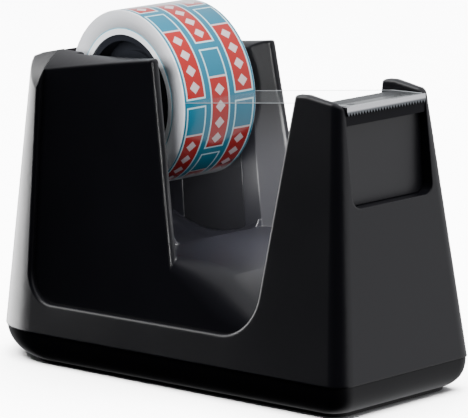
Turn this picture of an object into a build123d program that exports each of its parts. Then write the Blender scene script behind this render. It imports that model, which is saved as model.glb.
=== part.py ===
from build123d import *
import os

# Desk tape dispenser for 19 mm tape on a 26 mm core.
# Frame: +X towards the cutter, +Y to the dispenser's left, +Z up.
# The origin is on the resting face, in the middle of the overall length and width.
# All sizes are in millimetres.

# ---- overall body ----
LENGTH = 110.0                   # length at the parting line between shell and base
FRONT_X = LENGTH / 2
REAR_X = -LENGTH / 2
SEAM_Z = 6.6                     # parting line height
LOFT_TOP_Z = 66.6                # height at which the tapered outlines are defined
FRONT_SLOPE = 0.059              # how far the front face leans back, per unit of height
REAR_SLOPE = 0.32                # how far the rear face leans forward, per unit of height
SEAM_HALF_FRONT = 17.75
SEAM_HALF_REAR = 23.3
FRONT_CORNER = (3.5, 2.0)        # corner radius at the parting line, and at the top outline
REAR_CORNER = (20.0, 6.5)
BLOCK_TOP_HALF = (11.1, 18.9)    # half widths of the cutter block's top outline, front and rear
TOWER_TOP_HALF = (16.3, 18.4)    # half widths of the towers' top outline, front and rear
WALL = 2.2

# ---- step line between the shell and the roll cradle ----
STEP_Z = 13.1
STEP_REAR_X = -34.0              # rear end of the step line at STEP_Z
STEP_REAR_LEAN = 0.09
STEP_REAR_CORNER = 6.0
BLOCK_REAR_LEAN = 0.206
BLOCK_REAR_FOOT_X = 30.8         # where the block's rear face would meet STEP_Z
STEP_CORNER = 11.0
STEP_IN = 1.2                    # how far the cradle's side panels stand back

# ---- tape roll ----
TAPE_WIDTH = 19.0
ROLL_R = 18.0
CORE_INNER_R = 13.0
CORE_OUTER_R = 14.2
LABEL_THICKNESS = 0.15
AXIS_X = -13.4
AXIS_Z = 55.2

# ---- roll pocket and towers ----
POCKET_R = 30.3
POCKET_HALF = 12.0
POCKET_CORNER = 2.0
POCKET_REAR_X = -34.4
POCKET_FRONT_X = 1.4             # front end of the pocket's walls, at the height of the shelf
SHELF_Z = 28.0
TROUGH_R = 31.8                  # a narrower trough below the pocket's round ledge
TROUGH_HALF = 11.2
FLARE_LEAN = 0.045               # how far the towers' front faces lean back, per unit of height
FLARE_SLOPE = 1.45               # how far those faces run forward, per unit of width
GUIDE_HALF = 9.6                 # half length of the shallow drop-in guide in each tower
GUIDE_DEPTH = 1.0
TOWER_FRONT_X = 12.5             # front end of the towers, inside the saddle
TIP_ROUND = 1.0                  # rounding of each tower's front tip
TOWER_TOP_ROUND = 0.6
SHELL_ROUND = 0.7                # rounding along the step line and the cheek tops
TOP_ACROSS = (POCKET_HALF, 15.5, 19.0)  # where the tower top's heights are given, across Y
TOP_FRONT = (12.0, 63.1, 65.9, 64.0)    # tower top: x, then its heights from inside to outside
TOP_REAR = (-48.0, 65.6, 62.6, 53.8)
# each saddle station: x, top height, edge radius
SADDLE_SHELF = [(-6.0, 27.4, 2.0), (6.0, 27.0, 2.5), (13.0, 25.9, 5.5), (20.0, 23.6, 8.0)]
SADDLE_FOOT = (35.0, 14.4, 3.0)
SADDLE_CROWN = 0.5               # how far the saddle's middle stands above its shoulders
SADDLE_INSET = 0.02

# ---- axle ----
AXLE_R = 2.0
AXLE_HALF = 12.85
SEAT_SLOT_HALF = 2.15
SEAT_TOP = 61.8
HUB_R = 12.97
BOSS_R = 4.4
BOSS_HALF = 10.5
BORE_R = 2.05

# ---- cutter ----
DECK_Z = 58.6                    # top of the blade
DECK_HALF = 10.4
BLADE_T = 0.4
BLADE_HALF = 10.2
TEETH = 28
TOOTH_H = 0.7
RECESS_Z = 39.4
RECESS_X = 50.4
PANEL_T = 0.8

# ---- base ----
PAD_T = 0.9
BASE_FLOOR = 1.7

# ---- screws: the x and y of each ----
CRADLE_SCREWS = [(14.0, 9.0), (14.0, -9.0), (-27.5, 9.0), (-27.5, -9.0)]
BASE_SCREWS = [(43.0, 12.5), (43.0, -12.5), (-36.0, 16.0), (-36.0, -16.0)]
CRADLE_PILOT_TOP = 20.7


def outline(z, front, rear, half_front, half_rear, r_front, r_rear):
    """A symmetric tapered plan outline with rounded corners, at height z."""
    with BuildSketch(Plane.XY.offset(z)) as sketch:
        with BuildLine():
            Polyline(
                (front, -half_front),
                (front, half_front),
                (rear, half_rear),
                (rear, -half_rear),
                close=True,
            )
        make_face()
        corners = sketch.vertices().sort_by(Axis.X)
        fillet(corners[-2:], r_front)
        corners = sketch.vertices().filter_by(lambda v: v.X < rear + 0.01)
        fillet(corners, r_rear)
    return sketch.sketch


def tapered_body(top_half, inset=0.0):
    """The tapered body between the parting line and the top outline."""
    rise = LOFT_TOP_Z - SEAM_Z
    lower = outline(
        SEAM_Z,
        FRONT_X - inset,
        REAR_X + inset,
        SEAM_HALF_FRONT - inset,
        SEAM_HALF_REAR - inset,
        FRONT_CORNER[0],
        REAR_CORNER[0],
    )
    upper = outline(
        LOFT_TOP_Z,
        FRONT_X - rise * FRONT_SLOPE - inset,
        REAR_X + rise * REAR_SLOPE + inset,
        top_half[0] - inset,
        top_half[1] - inset,
        FRONT_CORNER[1],
        REAR_CORNER[1],
    )
    return loft([lower, upper], ruled=True)


def side_prism(points, half_width, radii=None):
    """A prism across Y from a side-view outline given as (x, z) points."""
    with BuildPart() as prism:
        with BuildSketch(Plane.XZ) as sketch:
            with BuildLine():
                Polyline(*points, close=True)
            make_face()
            if radii:
                for (x, z), r in radii.items():
                    nearest = sketch.vertices().sort_by_distance((x, z, 0))[0]
                    fillet(nearest, r)
        extrude(amount=half_width, both=True)
    return prism.part


def box(x0, x1, y0, y1, z0, z1):
    size = (x1 - x0, y1 - y0, z1 - z0)
    centre = ((x0 + x1) / 2, (y0 + y1) / 2, (z0 + z1) / 2)
    return Pos(*centre) * Box(*size)


def upright(x, y, z0, z1, r):
    return Pos(x, y, (z0 + z1) / 2) * Cylinder(r, z1 - z0)


def across(y0, y1, r, x=AXIS_X, z=AXIS_Z):
    """A cylinder along Y, on the roll's axis unless another place is given."""
    return Pos(x, (y0 + y1) / 2, z) * Rot(90, 0, 0) * Cylinder(r, y1 - y0)


def ring(y0, y1, r_out, r_in):
    return across(y0, y1, r_out) - across(y0 - 1, y1 + 1, r_in)


def mirrored(part):
    return mirror(part, about=Plane.XZ)


def rounded(shape, radius, wanted):
    """Rounds the edges whose bounding boxes pass the test; wanted gets the box and its nearest |y|."""
    edges = []
    for edge in shape.edges():
        bounds = edge.bounding_box()
        near_y = min(abs(bounds.min.Y), abs(bounds.max.Y))
        if wanted(bounds.min, bounds.max, near_y):
            edges.append(edge)
    return fillet(edges, radius)


def cradle_zone():
    """Everything inside the step line, where the cradle drops into the shell."""
    high = 90.0
    top_x = BLOCK_REAR_FOOT_X + (high - STEP_Z) * BLOCK_REAR_LEAN
    front_foot = (BLOCK_REAR_FOOT_X, STEP_Z)
    rear_foot = (STEP_REAR_X, STEP_Z)
    points = [
        (top_x, high),
        front_foot,
        rear_foot,
        (STEP_REAR_X + (high - STEP_Z) * STEP_REAR_LEAN, high),
    ]
    return side_prism(points, 40, {front_foot: STEP_CORNER, rear_foot: STEP_REAR_CORNER})


def roll_pocket():
    """The pocket for the roll: a round floor under an opening that runs up through the top."""
    opening = across(-POCKET_HALF, POCKET_HALF, POCKET_R)
    trough = across(-TROUGH_HALF, TROUGH_HALF, TROUGH_R)
    trough = fillet(trough.edges().filter_by(GeomType.CIRCLE), POCKET_CORNER)
    opening += trough & box(-60, 30, -40, 40, 0, AXIS_Z)
    opening += box(-60, 30, -POCKET_HALF, POCKET_HALF, AXIS_Z, 90)
    opening &= box(POCKET_REAR_X, 40, -40, 40, 0, 90)
    guide_half = POCKET_HALF + GUIDE_DEPTH
    guide = across(-guide_half, guide_half, POCKET_R)
    guide += box(-60, 30, -guide_half, guide_half, AXIS_Z, 90)
    guide &= box(AXIS_X - GUIDE_HALF, AXIS_X + GUIDE_HALF, -40, 40, 0, 90)
    return opening + guide


def above_towers():
    """The space above the crowned, twisted tower tops, which dip towards the rear edge."""
    front = tower_top_section(*TOP_FRONT)
    rear = tower_top_section(*TOP_REAR)
    dip = [(-60, 58.0), (-38.5, 62.2), (-34.0, 63.9), (-28.0, 64.9), (-28.0, 90), (-60, 90)]
    return loft([rear, front], ruled=True) + side_prism(dip, 40)


def on_shell_edge(low, high, near_y):
    """True on the step line, the cutter block's rear corners and the cheek tops."""
    step = near_y > 12.5 and low.Z > STEP_Z - 0.2 and -36 < low.X < 35
    cheek = near_y > DECK_HALF - 0.1 and low.Z > DECK_Z - 0.2 and low.X > 40
    return step or cheek


def make_outer_shell(zone, pocket, above):
    shell = tapered_body(BLOCK_TOP_HALF) - zone
    shell -= pocket
    shell -= above & box(-60, 0, -40, 40, 0, 110)
    # cheek tops on both sides of the landing bar
    cheeks = [(30, 58.2), (36.4, 58.2), (39.2, 60.4), (43.4, 60.5), (50.2, 59.4), (52.2, 58.4), (60, 58.4)]
    shell -= side_prism(cheeks + [(60, 80), (30, 80)], 40, {(39.2, 60.4): 2.0, (43.4, 60.5): 4.0})
    # pocket for the landing bar and blade
    bar_pocket = [(30, 54.9), (60, 54.9), (60, 70), (30, 70)]
    shell -= side_prism(bar_pocket, DECK_HALF)
    # finger recess under the blade
    with BuildPart() as recess:
        with BuildSketch(Plane.YZ.offset(RECESS_X - PANEL_T)):
            with Locations((0, (RECESS_Z + 70) / 2)):
                RectangleRounded(2 * DECK_HALF, 70 - RECESS_Z, 2.0)
        extrude(amount=20)
    shell -= recess.part
    shell = rounded(shell, SHELL_ROUND, on_shell_edge)
    # hollow inside, open at the bottom
    inner = tapered_body(BLOCK_TOP_HALF, WALL)
    hollow = [
        (-60, 0),
        (60, 0),
        (60, 37.0),
        (47.3, 37.0),
        (47.3, 52.6),
        (41.0, 52.6),
        (36.4, 30.0),
        (31.5, 15.5),
        (20.0, STEP_Z - WALL),
        (-30.0, STEP_Z - WALL),
        (POCKET_REAR_X - 3.0, 16.0),
        (POCKET_REAR_X - 3.0, 50.0),
        (-60, 50.0),
    ]
    cavity = inner & side_prism(hollow, 40)
    for x, y in BASE_SCREWS:
        cavity -= upright(x, y, SEAM_Z, 20, 3.2)
    shell -= cavity
    for x, y in BASE_SCREWS:
        shell -= upright(x, y, SEAM_Z - 1, SEAM_Z + 4.0, 1.2)
    for x, y in CRADLE_SCREWS:
        shell -= upright(x, y, 8, STEP_Z + 4, 1.5)
    return shell


def side_half(x, z):
    """Half width of the cradle's side panels at a place on them."""
    rise = LOFT_TOP_Z - SEAM_Z
    lower = SEAM_HALF_FRONT + (SEAM_HALF_REAR - SEAM_HALF_FRONT) * (FRONT_X - x) / LENGTH
    top_front = FRONT_X - rise * FRONT_SLOPE
    top_rear = REAR_X + rise * REAR_SLOPE
    share = (top_front - x) / (top_front - top_rear)
    upper = TOWER_TOP_HALF[0] + (TOWER_TOP_HALF[1] - TOWER_TOP_HALF[0]) * share
    return lower + (upper - lower) * (z - SEAM_Z) / rise - STEP_IN


def saddle_section(x, top, radius):
    """The saddle's arched cross-section at one station along the length."""
    shoulder = top - SADDLE_CROWN
    foot = 8.0
    half_top = side_half(x, shoulder) - SADDLE_INSET
    half_foot = side_half(x, foot) - SADDLE_INSET
    with BuildSketch(Plane.YZ.offset(x)) as sketch:
        with BuildLine():
            Polyline(
                (-half_top, shoulder),
                (-half_foot, foot),
                (half_foot, foot),
                (half_top, shoulder),
            )
            ThreePointArc((half_top, shoulder), (0, top), (-half_top, shoulder))
        make_face()
        fillet(sketch.vertices().sort_by(Axis.Y)[-2:], radius)
    return sketch.sketch


def make_saddle(zone):
    """The saddle in front of the pocket: a shelf that curves down to a crease, then a ramp."""
    shelf = loft([saddle_section(*station) for station in SADDLE_SHELF])
    ramp = loft([saddle_section(*SADDLE_SHELF[-1]), saddle_section(*SADDLE_FOOT)], ruled=True)
    return (shelf + ramp) & zone


def tower_top_section(x, *heights):
    """The region above the crowned tower tops at one station."""
    left = list(zip(TOP_ACROSS, heights))
    right = [(-y, z) for y, z in left]
    reach = 30.0
    far = heights[2] - 15.0
    with BuildSketch(Plane.YZ.offset(x)) as sketch:
        with BuildLine():
            Polyline(right[0], left[0])
            ThreePointArc(*left)
            Polyline(left[2], (reach, far), (reach, 110), (-reach, 110), (-reach, far), right[2])
            ThreePointArc(*reversed(right))
        make_face()
    return sketch.sketch


def flare_section(z):
    """The region in front of the towers at height z, bounded by their flared front faces."""
    reach = 30.0
    wall_x = POCKET_FRONT_X + FLARE_LEAN * (SHELF_Z - z)
    reach_x = wall_x + FLARE_SLOPE * (reach - POCKET_HALF)
    with BuildSketch(Plane.XY.offset(z)) as sketch:
        with BuildLine():
            Polyline(
                (wall_x, -POCKET_HALF),
                (reach_x, -reach),
                (reach_x + 30, -reach),
                (reach_x + 30, reach),
                (reach_x, reach),
                (wall_x, POCKET_HALF),
                close=True,
            )
        make_face()
    return sketch.sketch


def make_roll_cradle(zone, pocket, above):
    body = tapered_body(TOWER_TOP_HALF, STEP_IN) & zone
    towers = body & box(REAR_X, TOWER_FRONT_X, -40, 40, 0, 90)
    towers -= loft([flare_section(10), flare_section(90)], ruled=True)
    towers = rounded(towers, TIP_ROUND, lambda low, high, y: 3 < low.X < TOWER_FRONT_X - 0.5 and y > 14.5)
    cradle = towers + make_saddle(zone)
    cradle -= pocket
    cradle -= above
    cradle = rounded(cradle, TOWER_TOP_ROUND, lambda low, high, y: low.Z > 60 and low.X > -28.7)
    # ballast hollow, open at the bottom
    cradle -= box(-22, -1, -15, 15, 5, 21.9)
    for x, y in CRADLE_SCREWS:
        cradle -= upright(x, y, 5, CRADLE_PILOT_TOP, 1.15)
    return cradle


def hull_outline(z, front_in, side_in, rear_in):
    return outline(
        z,
        FRONT_X - front_in,
        REAR_X + rear_in,
        SEAM_HALF_FRONT - side_in,
        SEAM_HALF_REAR - side_in,
        FRONT_CORNER[0],
        min(REAR_CORNER[0] - 0.4 * rear_in, SEAM_HALF_REAR - side_in - 1.8),
    )


def make_base_plate():
    sections = [
        hull_outline(SEAM_Z, 0.15, 0.15, 0.15),
        hull_outline(3.6, 0.7, 0.5, 1.4),
        hull_outline(PAD_T, 3.4, 2.0, 6.5),
    ]
    plate = loft(sections)
    tray = loft([
        hull_outline(PAD_T + BASE_FLOOR, 6.0, 4.6, 9.0),
        hull_outline(SEAM_Z + 0.01, 4.2, 4.2, 4.2),
    ])
    for x, y in BASE_SCREWS:
        tray -= upright(x, y, 0, SEAM_Z + 1, 3.2)
    plate -= tray
    for x, y in BASE_SCREWS:
        plate -= upright(x, y, -1, SEAM_Z + 1, 1.5)
        plate -= upright(x, y, -1, 2.6, 2.6)
    return plate


def make_grip_pad():
    pad = hull_outline(0.0, 4.2, 2.8, 8.2)
    return extrude(pad, PAD_T)


def screw(x, y, head_z, length, head_r):
    """A pan-head screw that points up, with a cross recess in its head."""
    head = upright(x, y, head_z, head_z + 1.4, head_r)
    slot = box(x - 1.3, x + 1.3, y - 0.3, y + 0.3, head_z - 1, head_z + 0.7)
    slot += box(x - 0.3, x + 0.3, y - 1.3, y + 1.3, head_z - 1, head_z + 0.7)
    return head - slot + upright(x, y, head_z + 1.4, head_z + length, 1.1)


def make_cutter_blade():
    front = 52.3
    blade = box(48.4, front, -BLADE_HALF, BLADE_HALF, DECK_Z - BLADE_T, DECK_Z)
    pitch = 2 * BLADE_HALF / TEETH
    root_z = 57.5
    points = [(-BLADE_HALF, DECK_Z), (-BLADE_HALF, root_z)]
    for i in range(TEETH):
        left = -BLADE_HALF + i * pitch
        points.append((left + pitch / 2, root_z - TOOTH_H))
        points.append((left + pitch, root_z))
    points.append((BLADE_HALF, DECK_Z))
    with BuildPart() as lip:
        with BuildSketch(Plane.YZ.offset(front - BLADE_T)):
            with BuildLine():
                Polyline(*points, close=True)
            make_face()
        extrude(amount=BLADE_T)
    blade += lip.part
    for y in (-7.0, 7.0):
        blade -= upright(49.9, y, 50, 62, 0.8)
    return blade


def make_landing_bar():
    profile = [
        (36.0, 55.0),
        (51.85, 55.0),
        (51.85, DECK_Z - BLADE_T),
        (48.3, DECK_Z - BLADE_T),
        (48.3, DECK_Z - 0.05),
        (43.6, DECK_Z - 0.05),
        (38.2, 57.2),
    ]
    bar = side_prism(profile, DECK_HALF - 0.05, {(43.6, DECK_Z - 0.05): 6.0})
    rear_wall = side_prism([(30, 50), (30, 70), (44.0, 70), (39.6, 50)], 40)
    bar -= Pos(-0.35, 0, 0) * rear_wall
    for y in (-7.0, 7.0):
        bar -= upright(49.9, y, 56.4, 62, 0.8)
    return bar


def make_blade_pins():
    return [upright(49.9, y, 56.45, DECK_Z, 0.75) for y in (-7.0, 7.0)]


def make_finger_panel():
    with BuildPart() as panel:
        with BuildSketch(Plane.YZ.offset(RECESS_X - PANEL_T)):
            with Locations((0, (RECESS_Z + 70) / 2)):
                RectangleRounded(2 * DECK_HALF - 0.1, 70 - RECESS_Z - 0.1, 1.95)
        extrude(amount=PANEL_T)
    return panel.part & box(0, 60, -20, 20, 0, 54.9)


def make_axle_seat():
    """The left seat plate, let into the guide, with a U-slot for one end of the axle."""
    y0 = POCKET_HALF + 0.02
    y1 = POCKET_HALF + GUIDE_DEPTH
    half = GUIDE_HALF - 0.05
    seat = box(AXIS_X - half, AXIS_X + half, y0, y1, 0, SEAT_TOP)
    round_floor = across(y0 - 1, y1 + 1, POCKET_R - 0.05)
    seat &= round_floor + box(-60, 30, 0, 20, AXIS_Z, 90)
    seat -= across(y0 - 1, y1 + 1, SEAT_SLOT_HALF)
    seat -= box(AXIS_X - SEAT_SLOT_HALF, AXIS_X + SEAT_SLOT_HALF, y0 - 1, y1 + 1, AXIS_Z, 90)
    return seat


def make_hub_half():
    """The left half of the hub that the tape core is pushed onto."""
    rim = ring(0, 9.2, HUB_R, HUB_R - 1.3)
    web = ring(4.6, 6.0, HUB_R - 1.2, BORE_R)
    step = ring(5.9, 6.9, 9.4, 7.6)
    boss = ring(0, BOSS_HALF, BOSS_R, BORE_R)
    half = rim + web + step + boss
    for i in range(6):
        angle = i * 60
        rib = Pos(AXIS_X, 0, AXIS_Z) * Rot(0, angle, 0) * box(BOSS_R - 0.3, HUB_R - 1.1, 2.0, 5.0, -0.5, 0.5)
        half += rib
    return half


def make_tape_tail():
    """The free end of the tape, from the front of the roll to the blade."""
    start = (AXIS_X + ROLL_R + 0.12, AXIS_Z + 0.4)
    land = (44.2, DECK_Z + 0.05)
    end = (52.3, DECK_Z + 0.05)
    t = 0.12
    points = [start, land, end, (end[0], end[1] + t), (land[0], land[1] + t), (start[0], start[1] + t)]
    return side_prism(points, TAPE_WIDTH / 2)


def build_all():
    zone = cradle_zone()
    pocket = roll_pocket()
    above = above_towers()
    parts = {
        "outer_shell": make_outer_shell(zone, pocket, above),
        "roll_cradle": make_roll_cradle(zone, pocket, above),
        "base_plate": make_base_plate(),
        "grip_pad": make_grip_pad(),
        "ballast_rear": box(-21.5, -1.5, -14.5, 14.5, STEP_Z, 21.4),
        "ballast_front": box(38.5, 47.5, -9.0, 9.0, PAD_T + BASE_FLOOR, 32.0),
        "ballast_plate": box(-40, 34, -12, 12, PAD_T + BASE_FLOOR, SEAM_Z),
        "cutter_blade": make_cutter_blade(),
        "landing_bar": make_landing_bar(),
        "finger_panel": make_finger_panel(),
        "axle_pin": across(-AXLE_HALF, AXLE_HALF, AXLE_R),
        "tape_core": ring(-TAPE_WIDTH / 2, TAPE_WIDTH / 2, CORE_OUTER_R, CORE_INNER_R),
        "core_label": ring(-TAPE_WIDTH / 2, TAPE_WIDTH / 2, CORE_OUTER_R + LABEL_THICKNESS, CORE_OUTER_R),
        "tape_winding": ring(-TAPE_WIDTH / 2, TAPE_WIDTH / 2, ROLL_R, CORE_OUTER_R + LABEL_THICKNESS),
        "tape_tail": make_tape_tail(),
    }
    seat = make_axle_seat()
    hub = make_hub_half()
    washer = ring(BOSS_HALF + 0.1, BOSS_HALF + 1.2, 4.3, AXLE_R)
    parts["axle_seat_left"] = seat
    parts["axle_seat_right"] = mirrored(seat)
    parts["hub_left"] = hub
    parts["hub_right"] = mirrored(hub)
    parts["brake_washer_left"] = washer
    parts["brake_washer_right"] = mirrored(washer)
    parts["blade_pins"] = Compound(children=make_blade_pins())
    parts["cradle_screws"] = Compound(children=[screw(x, y, 9.5, 11.0, 2.4) for x, y in CRADLE_SCREWS])
    parts["base_screws"] = Compound(children=[screw(x, y, 1.2, 9.0, 2.4) for x, y in BASE_SCREWS])
    return parts


os.makedirs("parts", exist_ok=True)
for node, shape in build_all().items():
    export_step(shape, f"parts/{node}.step")
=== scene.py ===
import math

import bmesh
import bpy
from mathutils import Matrix, Vector


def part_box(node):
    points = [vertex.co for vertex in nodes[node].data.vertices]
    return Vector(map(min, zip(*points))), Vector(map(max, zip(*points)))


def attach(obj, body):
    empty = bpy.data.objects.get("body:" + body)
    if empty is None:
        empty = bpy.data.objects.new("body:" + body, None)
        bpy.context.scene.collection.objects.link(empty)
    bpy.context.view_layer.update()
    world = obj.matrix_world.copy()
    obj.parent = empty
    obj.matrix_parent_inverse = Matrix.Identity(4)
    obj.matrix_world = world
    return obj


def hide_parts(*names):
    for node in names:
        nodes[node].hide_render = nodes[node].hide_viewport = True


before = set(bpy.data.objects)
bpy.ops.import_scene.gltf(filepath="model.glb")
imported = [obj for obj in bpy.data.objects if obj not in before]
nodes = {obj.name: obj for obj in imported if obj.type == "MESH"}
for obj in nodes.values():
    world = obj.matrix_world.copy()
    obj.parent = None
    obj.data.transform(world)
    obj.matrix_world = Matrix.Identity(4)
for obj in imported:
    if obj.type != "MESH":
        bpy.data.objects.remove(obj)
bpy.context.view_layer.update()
MM = 0.001


# Lengths are in metres, unless a name ends in _MM.
# ---------------------------------------------------------------- camera and stage
CAM_AT = Vector((0.4705, -0.4000, 0.1448))
CAM_AZIMUTH = math.radians(40.79)
CAM_ELEVATION = math.radians(10.33)
CAM_ROLL = math.radians(-3.0)
CAM_LENS = 239.92
FLOOR_HALF = 8.0
FLOOR_GAP = 0.0002


def make_camera():
    forward = Vector((
        -math.cos(CAM_AZIMUTH) * math.cos(CAM_ELEVATION),
        math.sin(CAM_AZIMUTH) * math.cos(CAM_ELEVATION),
        -math.sin(CAM_ELEVATION),
    ))
    right = forward.cross(Vector((0, 0, 1))).normalized()
    up = right.cross(forward)
    c, s = math.cos(CAM_ROLL), math.sin(CAM_ROLL)
    right, up = right * c + up * s, up * c - right * s
    data = bpy.data.cameras.new("camera")
    data.lens = CAM_LENS
    data.sensor_width = 36.0
    data.clip_start = 0.01
    data.clip_end = 50.0
    camera = bpy.data.objects.new("camera", data)
    bpy.context.scene.collection.objects.link(camera)
    rows = [[right[i], up[i], -forward[i], CAM_AT[i]] for i in range(3)]
    camera.matrix_world = Matrix(rows + [[0, 0, 0, 1]])
    bpy.context.scene.camera = camera


def link(name, mesh):
    piece = bpy.data.objects.new(name, mesh)
    bpy.context.scene.collection.objects.link(piece)
    return piece


def to_mesh(bm, name):
    mesh = bpy.data.meshes.new(name)
    bm.to_mesh(mesh)
    bm.free()
    return mesh


def make_floor():
    """Pale paper that only the camera sees: it neither mirrors in the object nor lights it."""
    bm = bmesh.new()
    bmesh.ops.create_grid(bm, x_segments=2, y_segments=2, size=FLOOR_HALF)
    floor = link("floor", to_mesh(bm, "floor"))
    floor.location.z = -FLOOR_GAP
    floor.visible_glossy = False
    floor.visible_diffuse = False
    mat, tree, bsdf = principled("floor_paper", (0.9, 0.9, 0.9, 1), 0.8)
    bsdf.inputs["Specular IOR Level"].default_value = 0.1
    floor.data.materials.append(mat)
    return floor


def area_light(name, at, target, size, power, glossy=True, spread=180.0, only=()):
    """A rectangular soft light; where only lists objects, it lights nothing else."""
    data = bpy.data.lights.new(name, "AREA")
    data.spread = math.radians(spread)
    data.shape = "RECTANGLE"
    data.size, data.size_y = size
    data.energy = power
    lamp = bpy.data.objects.new(name, data)
    bpy.context.scene.collection.objects.link(lamp)
    lamp.location = at
    lamp.rotation_euler = (Vector(target) - Vector(at)).to_track_quat("-Z", "Y").to_euler()
    lamp.visible_camera = False
    lamp.visible_glossy = glossy
    if only:
        lit = bpy.data.collections.new(name + "_lit")
        for piece in only:
            lit.objects.link(piece)
        lamp.light_linking.receiver_collection = lit


# ---------------------------------------------------------------- material helpers
def principled(name, color, roughness, metallic=0.0):
    mat = bpy.data.materials.new(name)
    mat.use_nodes = True
    tree = mat.node_tree
    bsdf = tree.nodes["Principled BSDF"]
    bsdf.inputs["Base Color"].default_value = color
    bsdf.inputs["Roughness"].default_value = roughness
    bsdf.inputs["Metallic"].default_value = metallic
    return mat, tree, bsdf


def node(tree, kind, **values):
    made = tree.nodes.new(kind)
    for key, value in values.items():
        if key in made.inputs:
            made.inputs[key].default_value = value
        else:
            setattr(made, key, value)
    return made


def noise(tree, scale, detail=2.0):
    place = node(tree, "ShaderNodeTexCoord")
    texture = node(tree, "ShaderNodeTexNoise", Scale=scale, Detail=detail)
    tree.links.new(place.outputs["Object"], texture.inputs["Vector"])
    return texture.outputs["Fac"]


def mapped(tree, value, low, high):
    made = node(tree, "ShaderNodeMapRange")
    made.inputs["To Min"].default_value = low
    made.inputs["To Max"].default_value = high
    tree.links.new(value, made.inputs["Value"])
    return made.outputs["Result"]


def feed(tree, socket, value):
    """Sets a constant on a socket, or links another node's output to it."""
    if isinstance(value, (tuple, float, int)):
        socket.default_value = value
    else:
        tree.links.new(value, socket)


def mix_color(tree, share, a, b):
    made = node(tree, "ShaderNodeMix", data_type="RGBA")
    factor, color_a, color_b = made.inputs[0], made.inputs[6], made.inputs[7]
    feed(tree, factor, share)
    feed(tree, color_a, a)
    feed(tree, color_b, b)
    return made.outputs[2]


def smooth_step(tree, value, low, high):
    """0 below low, 1 above high, with a soft passage between them."""
    ramp = node(tree, "ShaderNodeMapRange", interpolation_type="SMOOTHSTEP")
    ramp.inputs["From Min"].default_value = low
    ramp.inputs["From Max"].default_value = high
    tree.links.new(value, ramp.inputs["Value"])
    return ramp.outputs["Result"]


def vector_math(tree, operation, vector, constant=None):
    made = node(tree, "ShaderNodeVectorMath", operation=operation)
    tree.links.new(vector, made.inputs[0])
    if constant is not None:
        made.inputs[1].default_value = constant
    return made


def grain(tree, bsdf, scale, depth, bevel=0.0):
    """A fine moulded grain, on softly broken edges where bevel is given."""
    bump = node(tree, "ShaderNodeBump", Strength=0.35, Distance=depth)
    tree.links.new(noise(tree, scale), bump.inputs["Height"])
    if bevel:
        edge = node(tree, "ShaderNodeBevel", Radius=bevel)
        edge.samples = 8
        tree.links.new(edge.outputs["Normal"], bump.inputs["Normal"])
    tree.links.new(bump.outputs["Normal"], bsdf.inputs["Normal"])


def moulded(name, color, roughness, spread=0.06, bevel=0.0005, specular=0.45):
    """Moulded plastic with a spark-eroded grain and slightly uneven gloss."""
    mat, tree, bsdf = principled(name, color, roughness)
    bsdf.inputs["Specular IOR Level"].default_value = specular
    patches = noise(tree, 60.0, 4.0)
    tree.links.new(mapped(tree, patches, roughness - spread, roughness + spread), bsdf.inputs["Roughness"])
    pale = tuple(min(1.0, c * 1.35) for c in color[:3]) + (1,)
    tree.links.new(mix_color(tree, patches, color, pale), bsdf.inputs["Base Color"])
    grain(tree, bsdf, 5200.0, 0.00002, bevel)
    return mat


def metal(name, color, roughness, scale=900.0):
    mat, tree, bsdf = principled(name, color, roughness, 1.0)
    streaks = noise(tree, scale, 3.0)
    tree.links.new(mapped(tree, streaks, roughness * 0.7, roughness * 1.4), bsdf.inputs["Roughness"])
    grain(tree, bsdf, scale * 3, 0.00001)
    return mat


def paint(name, material):
    slots = nodes[name].data.materials
    slots.clear()
    slots.append(material)


# ---------------------------------------------------------------- shapes
def lathe(name, profile, axis_at, steps):
    """Turns a closed profile of (y, radius) points about the roll's axis. UV u is the turn, v is y in mm."""
    bm = bmesh.new()
    uv = bm.loops.layers.uv.new("turn")
    rings = []
    for i in range(steps):
        a = 2 * math.pi * i / steps
        c, s = math.cos(a), math.sin(a)
        rings.append([bm.verts.new((axis_at.x + r * c, y, axis_at.z + r * s)) for y, r in profile])
    count = len(profile)
    for i in range(steps):
        here, there = rings[i], rings[(i + 1) % steps]
        for j in range(count):
            k = (j + 1) % count
            face = bm.faces.new((here[j], here[k], there[k], there[j]))
            face.smooth = True
            for loop, u, v in zip(face.loops, (i, i, i + 1, i + 1), (j, k, k, j)):
                loop[uv].uv = (u / steps, profile[v][0] / MM)
    bmesh.ops.recalc_face_normals(bm, faces=bm.faces)
    return link(name, to_mesh(bm, name))


axle_low, axle_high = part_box("axle_pin")
AXIS = Vector(((axle_low.x + axle_high.x) / 2, 0, (axle_low.z + axle_high.z) / 2))


def rounded_ring(half, r_in, r_out, r_edge, steps=4):
    """A ring's cross-section with rounded outer edges, as (y, radius) points."""
    points = [(-half, r_in)]
    for side in (-1, 1):
        for i in range(steps + 1):
            t = i / steps * math.pi / 2
            if side > 0:
                t = math.pi / 2 - t
            y = side * (half - r_edge + r_edge * math.cos(t))
            points.append((y, r_out - r_edge + r_edge * math.sin(t)))
    points.append((half, r_in))
    return points


make_camera()


# ---------------------------------------------------------------- the tape roll
SKIN = 0.00002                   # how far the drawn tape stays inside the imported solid
CORE_OUTER_R = 0.01435
RIM_ROUND = 0.0003
# the print, in millimetres: three columns of blocks across the tape, each block red at one end
PRINT_HALF_MM = 9.45
CLEAR_RIM_MM = 9.28
COLUMN_MM = 6.3
BLOCKS_ROUND = 5
BLOCK_PITCH_MM = 22.6
BLOCK_HALF_MM = 2.5
BLOCK_GAP_MM = 0.7
OUTLINE_MM = 0.34
RED_END_MM = 4.6
BAND_HALF_MM = 0.2
LOZENGE_PITCH_MM = 3.4
LOZENGE_SHIFT_MM = 9.9
LOZENGE_HALF_MM = 1.25
LOZENGES_END_MM = 3.7


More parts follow.
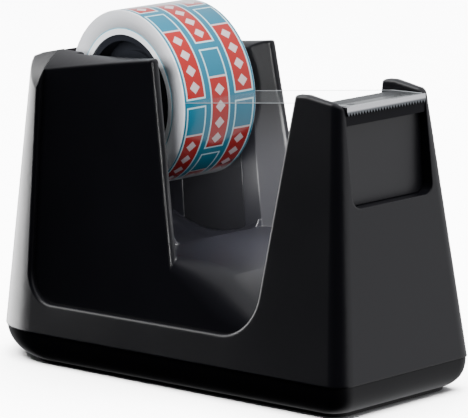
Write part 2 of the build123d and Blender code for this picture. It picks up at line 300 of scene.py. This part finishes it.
def tape_print():
    """Clear tape over print: blocks in staggered columns round the roll, with a painted sheen that whitens
    it where seen edge-on.
    """
    mat, tree, bsdf = principled("tape_print", (0.6, 0.62, 0.64, 1), 0.22)
    new = tree.links.new
    uv = node(tree, "ShaderNodeUVMap", uv_map="turn")
    split = node(tree, "ShaderNodeSeparateXYZ")
    new(uv.outputs["UV"], split.inputs["Vector"])

    def calc(operation, a, b=None):
        made = node(tree, "ShaderNodeMath", operation=operation)
        for slot, value in enumerate((a, b)):
            if value is not None:
                feed(tree, made.inputs[slot], value)
        return made.outputs[0]

    def from_middle(value, pitch):
        """The distance from the middle of the repeat that a value, counted in repeats, lies in."""
        return calc("MULTIPLY", calc("SUBTRACT", calc("FRACT", value), 0.5), pitch)

    across = calc("DIVIDE", calc("ADD", split.outputs["Y"], PRINT_HALF_MM), COLUMN_MM)
    in_column = from_middle(across, COLUMN_MM)
    stagger = calc("MULTIPLY", calc("FLOOR", across), 0.5)
    around = calc("MULTIPLY", split.outputs["X"], BLOCKS_ROUND)
    in_block = from_middle(calc("ADD", around, stagger), BLOCK_PITCH_MM)
    side_off = calc("ABSOLUTE", in_column)
    inside_sides = calc("SUBTRACT", BLOCK_HALF_MM, side_off)
    inside_ends = calc("SUBTRACT", BLOCK_PITCH_MM / 2 - BLOCK_GAP_MM, calc("ABSOLUTE", in_block))
    inside = calc("MINIMUM", inside_sides, inside_ends)
    block = calc("GREATER_THAN", inside, 0.0)
    inner = calc("GREATER_THAN", inside, OUTLINE_MM)
    red = calc("MULTIPLY", inner, calc("LESS_THAN", in_block, RED_END_MM))
    from_end = calc("ABSOLUTE", calc("SUBTRACT", in_block, RED_END_MM))
    band = calc("MULTIPLY", inner, calc("LESS_THAN", from_end, BAND_HALF_MM))
    # a row of plain lozenges in each red part
    repeats = calc("DIVIDE", calc("ADD", in_block, LOZENGE_SHIFT_MM), LOZENGE_PITCH_MM)
    step = from_middle(repeats, LOZENGE_PITCH_MM)
    lozenge = calc("LESS_THAN", calc("ADD", calc("ABSOLUTE", step), side_off), LOZENGE_HALF_MM)
    mark = calc("MULTIPLY", calc("MULTIPLY", red, lozenge), calc("LESS_THAN", in_block, LOZENGES_END_MM))
    teal = mix_color(tree, noise(tree, 90.0, 2.0), (0.0, 0.12, 0.20, 1), (0.001, 0.17, 0.27, 1))
    color = mix_color(tree, block, teal, (0.46, 0.68, 0.74, 1))
    color = mix_color(tree, inner, color, teal)
    color = mix_color(tree, red, color, (0.34, 0.004, 0.002, 1))
    color = mix_color(tree, calc("MAXIMUM", mark, band), color, (0.58, 0.47, 0.48, 1))
    # painted sheen: the print turns to the pale film colour where seen edge-on, standing in for the clear
    # tape's reflection; past the print's rim the clear tape shows its own pale colour
    facing = node(tree, "ShaderNodeLayerWeight", Blend=0.5)
    painted_edge_on_sheen = smooth_step(tree, facing.outputs["Facing"], 0.72, 0.92)
    film = mix_color(tree, noise(tree, 140.0, 3.0), (0.58, 0.61, 0.64, 1), (0.74, 0.76, 0.78, 1))
    color = mix_color(tree, painted_edge_on_sheen, color, film)
    rim = calc("GREATER_THAN", calc("ABSOLUTE", split.outputs["Y"]), CLEAR_RIM_MM)
    color = mix_color(tree, rim, color, film)
    new(color, bsdf.inputs["Base Color"])
    bsdf.inputs["Coat Weight"].default_value = 0.35
    bsdf.inputs["Coat Roughness"].default_value = 0.08
    bump = node(tree, "ShaderNodeBump", Strength=0.25, Distance=0.00002)
    new(noise(tree, 420.0, 3.0), bump.inputs["Height"])
    new(bump.outputs["Normal"], bsdf.inputs["Normal"])
    return mat


def tape_edge():
    """The wound edges of the film: pale, slightly glossy, with faint concentric rings."""
    mat, tree, bsdf = principled("tape_edge", (0.66, 0.68, 0.70, 1), 0.3)
    new = tree.links.new
    place = node(tree, "ShaderNodeTexCoord")
    shift = vector_math(tree, "SUBTRACT", place.outputs["Object"], AXIS)
    flat = vector_math(tree, "MULTIPLY", shift.outputs["Vector"], (1, 0, 1))
    radius = vector_math(tree, "LENGTH", flat.outputs["Vector"])
    rings = node(tree, "ShaderNodeTexNoise", noise_dimensions="1D", Scale=3800.0, Detail=4.0)
    new(radius.outputs["Value"], rings.inputs["W"])
    patches = noise(tree, 75.0, 2.0)
    base = mix_color(tree, rings.outputs["Fac"], (0.56, 0.59, 0.62, 1), (0.70, 0.72, 0.74, 1))
    tint = mix_color(tree, patches, (0.50, 0.57, 0.66, 1), (0.72, 0.64, 0.64, 1))
    new(mix_color(tree, 0.3, base, tint), bsdf.inputs["Base Color"])
    bsdf.inputs["Subsurface Weight"].default_value = 0.3
    bsdf.inputs["Subsurface Radius"].default_value = (0.002, 0.002, 0.002)
    bsdf.inputs["Coat Weight"].default_value = 0.3
    bsdf.inputs["Coat Roughness"].default_value = 0.2
    bump = node(tree, "ShaderNodeBump", Strength=0.3, Distance=0.00003)
    new(rings.outputs["Fac"], bump.inputs["Height"])
    new(bump.outputs["Normal"], bsdf.inputs["Normal"])
    return mat


def clear_film():
    """Thin clear film: almost invisible face-on, glossy at a glancing view, pale along its cut edges."""
    mat, tree, bsdf = principled("clear_film", (0.8, 0.84, 0.86, 1), 0.12)
    new = tree.links.new
    clear = node(tree, "ShaderNodeBsdfTransparent")
    clear.inputs["Color"].default_value = (0.96, 0.98, 0.98, 1)
    facing = node(tree, "ShaderNodeLayerWeight", Blend=0.5)
    veil = mapped(tree, facing.outputs["Facing"], 0.02, 0.07)
    specks = mapped(tree, noise(tree, 300.0, 3.0), 0.85, 1.15)
    share = node(tree, "ShaderNodeMath", operation="MULTIPLY")
    new(veil, share.inputs[0])
    new(specks, share.inputs[1])
    blend = node(tree, "ShaderNodeMixShader")
    new(share.outputs[0], blend.inputs[0])
    new(clear.outputs[0], blend.inputs[1])
    new(bsdf.outputs[0], blend.inputs[2])
    new(blend.outputs[0], tree.nodes["Material Output"].inputs["Surface"])
    return mat


def cut_edge():
    """The cut edges of the clear film, where it shows as a pale line."""
    mat, tree, bsdf = principled("film_cut_edge", (0.75, 0.78, 0.8, 1), 0.35)
    clear = node(tree, "ShaderNodeBsdfTransparent")
    blend = node(tree, "ShaderNodeMixShader")
    tree.links.new(mapped(tree, noise(tree, 500.0, 2.0), 0.35, 0.75), blend.inputs[0])
    tree.links.new(clear.outputs[0], blend.inputs[1])
    tree.links.new(bsdf.outputs[0], blend.inputs[2])
    tree.links.new(blend.outputs[0], tree.nodes["Material Output"].inputs["Surface"])
    return mat


def make_roll():
    low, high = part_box("tape_winding")
    half = high.y - SKIN
    r_out = (high.x - low.x) / 2 - SKIN
    profile = rounded_ring(half, CORE_OUTER_R, r_out, RIM_ROUND)
    roll = lathe("wound_tape", profile, AXIS, 256)
    roll.data.materials.append(tape_print())
    roll.data.materials.append(tape_edge())
    for face in roll.data.polygons:
        middle = face.center - AXIS
        on_rim = math.hypot(middle.x, middle.z) > r_out - 0.0002
        face.material_index = 0 if on_rim else 1
    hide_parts("tape_winding")
    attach(roll, "roll")
    return roll


LANDING_X = 0.0442               # where the free end comes down on the landing bar
FREE_SHARE = 0.82                # the share of the free end that spans the gap
TAIL_CURL = 0.00004
HALF_FILM = 0.00006
EDGE_HALF_WIDTH = 0.00016
EDGE_HALF_HEIGHT = 0.00004


def make_tail():
    """The free end: a thin film with a slight curl across it, and its two cut edges."""
    low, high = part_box("tape_tail")
    start = Vector((low.x + 0.0001, 0, low.z + HALF_FILM))
    land = Vector((LANDING_X, 0, high.z - HALF_FILM))
    end = Vector((high.x - 0.00005, 0, high.z - HALF_FILM))
    bm = bmesh.new()
    columns, rows = 60, 12
    half = high.y - 0.0001
    grid = []
    for i in range(columns + 1):
        t = i / columns
        line = []
        for j in range(rows + 1):
            y = -half + 2 * half * j / rows
            if t < FREE_SHARE:
                k = t / FREE_SHARE
                at = start.lerp(land, k)
                at.z -= TAIL_CURL * math.sin(math.pi * k) * math.cos(math.pi * y / half)
            else:
                at = land.lerp(end, (t - FREE_SHARE) / (1 - FREE_SHARE))
            line.append(bm.verts.new((at.x, y, at.z)))
        grid.append(line)
    for i in range(columns):
        for j in range(rows):
            face = bm.faces.new((grid[i][j], grid[i + 1][j], grid[i + 1][j + 1], grid[i][j + 1]))
            face.smooth = True
    film = link("free_tape", to_mesh(bm, "free_tape"))
    film.data.materials.append(clear_film())
    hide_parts("tape_tail")
    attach(film, "axle")
    edge_material = cut_edge()
    for name, y in (("free_tape_edge_left", half), ("free_tape_edge_right", -half)):
        bm = bmesh.new()
        rings = []
        for at in (start, land, end):
            w, h = EDGE_HALF_WIDTH, EDGE_HALF_HEIGHT
            corners = ((-w, -h), (w, -h), (w, h), (-w, h))
            inner = y - math.copysign(w, y)
            rings.append([bm.verts.new((at.x, inner + a, at.z + b)) for a, b in corners])
        for a, b in zip(rings, rings[1:]):
            for k in range(4):
                bm.faces.new((a[k], a[(k + 1) % 4], b[(k + 1) % 4], b[k]))
        bm.faces.new(rings[0][::-1])
        bm.faces.new(rings[-1])
        bmesh.ops.recalc_face_normals(bm, faces=bm.faces)
        edge = link(name, to_mesh(bm, name))
        edge.data.materials.append(edge_material)
        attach(edge, "axle")


def blade_steel():
    """Polished steel, bright along the front edge, with painted shade: the bed behind it and the teeth below
    it are painted darker.
    """
    mat, tree, bsdf = principled("blade_steel", (0.8, 0.81, 0.83, 1), 0.16, 1.0)
    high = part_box("cutter_blade")[1]
    place = node(tree, "ShaderNodeTexCoord")
    split = node(tree, "ShaderNodeSeparateXYZ")
    tree.links.new(place.outputs["Object"], split.inputs["Vector"])
    # painted shade: the bed behind the front edge and the teeth below it get a darker colour than the steel,
    # in place of the reflections they would show
    near_front = smooth_step(tree, split.outputs["X"], high.x - 0.0014, high.x - 0.0009)
    above_teeth = smooth_step(tree, split.outputs["Z"], high.z - 0.0011, high.z - 0.0007)
    color = mix_color(tree, near_front, (0.035, 0.036, 0.04, 1), (0.8, 0.81, 0.83, 1))
    color = mix_color(tree, above_teeth, (0.16, 0.17, 0.18, 1), color)
    tree.links.new(color, bsdf.inputs["Base Color"])
    streaks = noise(tree, 900.0, 3.0)
    tree.links.new(mapped(tree, streaks, 0.12, 0.24), bsdf.inputs["Roughness"])
    grain(tree, bsdf, 2700.0, 0.00001)
    return mat


# ---------------------------------------------------------------- carried-over nodes
BLACK = (0.0050, 0.0050, 0.0068, 1)
shell_black = moulded("shell_black", BLACK, 0.34, bevel=0.0006)
cradle_black = moulded("cradle_black", BLACK, 0.36, bevel=0.0005)
base_black = moulded("base_black", (0.005, 0.005, 0.006, 1), 0.42, bevel=0.0004, specular=0.26)
bar_black = moulded("bar_black", (0.006, 0.006, 0.008, 1), 0.38, bevel=0.0002, specular=0.12)
panel_black = moulded("panel_black", (0.006, 0.006, 0.008, 1), 0.36, bevel=0.0004, specular=0.6)
hub_gloss = moulded("hub_gloss", (0.010, 0.011, 0.014, 1), 0.2, 0.03, 0.0003)
seat_gloss = moulded("seat_gloss", (0.006, 0.006, 0.007, 1), 0.22, 0.03, 0.0002)
core_white = moulded("core_white", (0.62, 0.64, 0.66, 1), 0.3, bevel=0.0001)
label_band = moulded("label_band", (0.02, 0.3, 0.42, 1), 0.3, bevel=0.0)
rubber = moulded("grip_rubber", (0.012, 0.012, 0.012, 1), 0.75, bevel=0.0002)
felt = moulded("pressed_felt", (0.03, 0.03, 0.032, 1), 0.95, bevel=0.0)
blade = blade_steel()
steel = metal("screw_steel", (0.55, 0.55, 0.57, 1), 0.3)
iron = metal("ballast_iron", (0.22, 0.21, 0.2, 1), 0.6, 300.0)

FINISH = {
    shell_black: ("outer_shell",),
    cradle_black: ("roll_cradle",),
    base_black: ("base_plate",),
    bar_black: ("landing_bar", "blade_pins"),
    panel_black: ("finger_panel",),
    hub_gloss: ("hub_left", "hub_right"),
    seat_gloss: ("axle_seat_left", "axle_seat_right"),
    core_white: ("tape_core",),
    label_band: ("core_label",),
    rubber: ("grip_pad",),
    felt: ("brake_washer_left", "brake_washer_right"),
    blade: ("cutter_blade",),
    steel: ("cradle_screws", "base_screws", "axle_pin"),
    iron: ("ballast_rear", "ballast_front", "ballast_plate"),
}
for material, names in FINISH.items():
    for name in names:
        paint(name, material)

roll = make_roll()
make_tail()


# ---------------------------------------------------------------- light
def make_world():
    """A bright room behind and above the object, falling off to a dark one on its near side."""
    world = bpy.data.worlds.new("studio")
    world.use_nodes = True
    bpy.context.scene.world = world
    tree = world.node_tree
    back = tree.nodes["Background"]
    place = node(tree, "ShaderNodeTexCoord")
    split = node(tree, "ShaderNodeSeparateXYZ")
    tree.links.new(place.outputs["Generated"], split.inputs["Vector"])
    lift = node(tree, "ShaderNodeMath", operation="MULTIPLY_ADD")
    lift.inputs[1].default_value = 0.45
    tree.links.new(split.outputs["Z"], lift.inputs[0])
    tree.links.new(split.outputs["Y"], lift.inputs[2])
    glow = smooth_step(tree, lift.outputs[0], -0.30, 0.20)
    color = mix_color(tree, glow, (0.014, 0.014, 0.018, 1), (1.0, 1.0, 1.03, 1))
    tree.links.new(color, back.inputs["Color"])
    # the backdrop itself is seen brighter than it lights the object
    path = node(tree, "ShaderNodeLightPath")
    tree.links.new(mapped(tree, path.outputs["Is Camera Ray"], 1.0, 12.0), back.inputs["Strength"])


def make_lights(floor, roll):
    """Soft light from above, and small lights that each bring out one part of the object."""
    shell = [nodes["outer_shell"]]
    pocket = [nodes[name] for name in ("roll_cradle", "axle_seat_left", "axle_seat_right")]
    side_on = [nodes[name] for name in ("hub_left", "hub_right", "tape_core", "core_label")] + [roll]
    body = (-0.03, 0, 0.04)
    area_light("top_soft", (0.1, 0.1, 0.9), (0, 0, 0.03), (1.2, 1.2), 18.0, glossy=False)
    area_light("floor_wash", (0, 0, 3.0), (0, 0, 0), (4.0, 4.0), 1600.0, only=[floor])
    area_light("rear_strip", (-0.83, -0.05, 0.1), body, (0.70, 0.7), 11.0, only=shell)
    area_light("rear_high", (-0.50, -0.40, 0.65), (-0.03, 0, 0.05), (0.5, 0.5), 3.5, only=shell)
    spot_at, fill_at, low_at = (0.150, -0.200, 0.060), (0.024, 0.002, 0.044), (-0.008, -0.008, 0.034)
    far_tower, saddle, pocket_wall = (0.004, 0.014, 0.050), (0.000, 0.006, 0.026), (-0.012, 0.012, 0.036)
    area_light("valley_spot", spot_at, far_tower, (0.08, 0.10), 0.010, spread=12.0, only=pocket)
    area_light("valley_fill", fill_at, saddle, (0.016, 0.02), 0.026, spread=110.0, only=pocket)
    area_light("pocket_fill", low_at, pocket_wall, (0.02, 0.004), 0.008, only=pocket)
    area_light("roll_side", (0.15, -0.60, 0.25), AXIS, (0.5, 0.4), 10.5, only=side_on)


make_world()
make_lights(make_floor(), roll)
